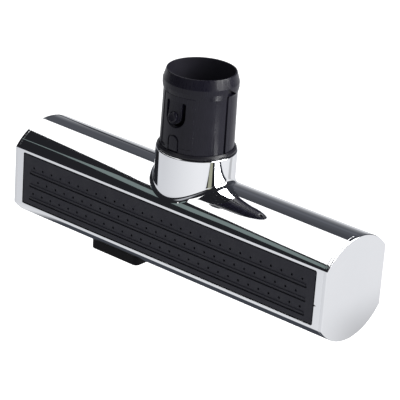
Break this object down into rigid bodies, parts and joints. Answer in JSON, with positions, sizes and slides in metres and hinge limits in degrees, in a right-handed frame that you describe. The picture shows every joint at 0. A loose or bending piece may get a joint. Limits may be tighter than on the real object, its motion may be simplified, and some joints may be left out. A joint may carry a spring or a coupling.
{
  "type": "surface cleaning head",
  "caption": "T-shaped chrome cleaning head with a padded front face, a suction slot on the back and a swivelling black wand connector with a latch button.",
  "frame": {"origin": "centre of the connector's mouth, where the wand goes on", "axes": "+Z out of the mouth along the wand, +X along the bar, -Y the padded front, +Y the suction face"},
  "size_m": [0.19, 0.0439, 0.1037],
  "materials": {
    "chrome_plate": "bright mirror plating on moulded plastic",
    "pad_rubber": "satin moulded rubber",
    "black_plastic": "satin moulded plastic",
    "sealing_rubber": "soft black sealing rubber",
    "lint_pile": "short dark red pile",
    "screw_steel": "zinc-plated steel",
    "slip_plastic": "natural unpigmented slip plastic"
  },
  "bodies": {
    "connector": {"wand_connector": "black_plastic", "connector_seal": "sealing_rubber", "connector_clip": "screw_steel"},
    "latch": {"latch_tongue": "black_plastic"},
    "relief": {"relief_slide": "black_plastic", "slide_retainer": "slip_plastic", "retainer_screw": "screw_steel"},
    "head": {"bar_shell": "chrome_plate", "neck_tube": "chrome_plate", "left_end_cap": "chrome_plate", "right_end_cap": "chrome_plate", "left_cap_gasket": "sealing_rubber", "right_cap_gasket": "sealing_rubber", "front_pad": "pad_rubber", "pad_carrier": "black_plastic", "pad_sealing_sheet": "sealing_rubber", "suction_plate": "black_plastic", "plate_gasket": "sealing_rubber", "upper_lint_strip": "lint_pile", "lower_lint_strip": "lint_pile", "plate_screws": "screw_steel", "neck_bush": "black_plastic", "thrust_washer": "slip_plastic"}
  },
  "joints": [
    {"name": "head_swivel", "type": "hinge", "parent": "connector", "child": "head", "pos_m": [0, 0, -0.0762], "axis": [0, 0, 1], "continuous": true},
    {"name": "latch_press", "type": "hinge", "parent": "connector", "child": "latch", "pos_m": [0, -0.01605, -0.0119], "axis": [1, 0, 0], "range_deg": [0, 10], "stiffness_Nm_per_rad": 0.5, "springref_deg": -2.86},
    {"name": "relief_travel", "type": "slide", "parent": "head", "child": "relief", "axis": [1, 0, 0], "range_m": [0, 0.014]}
  ]
}
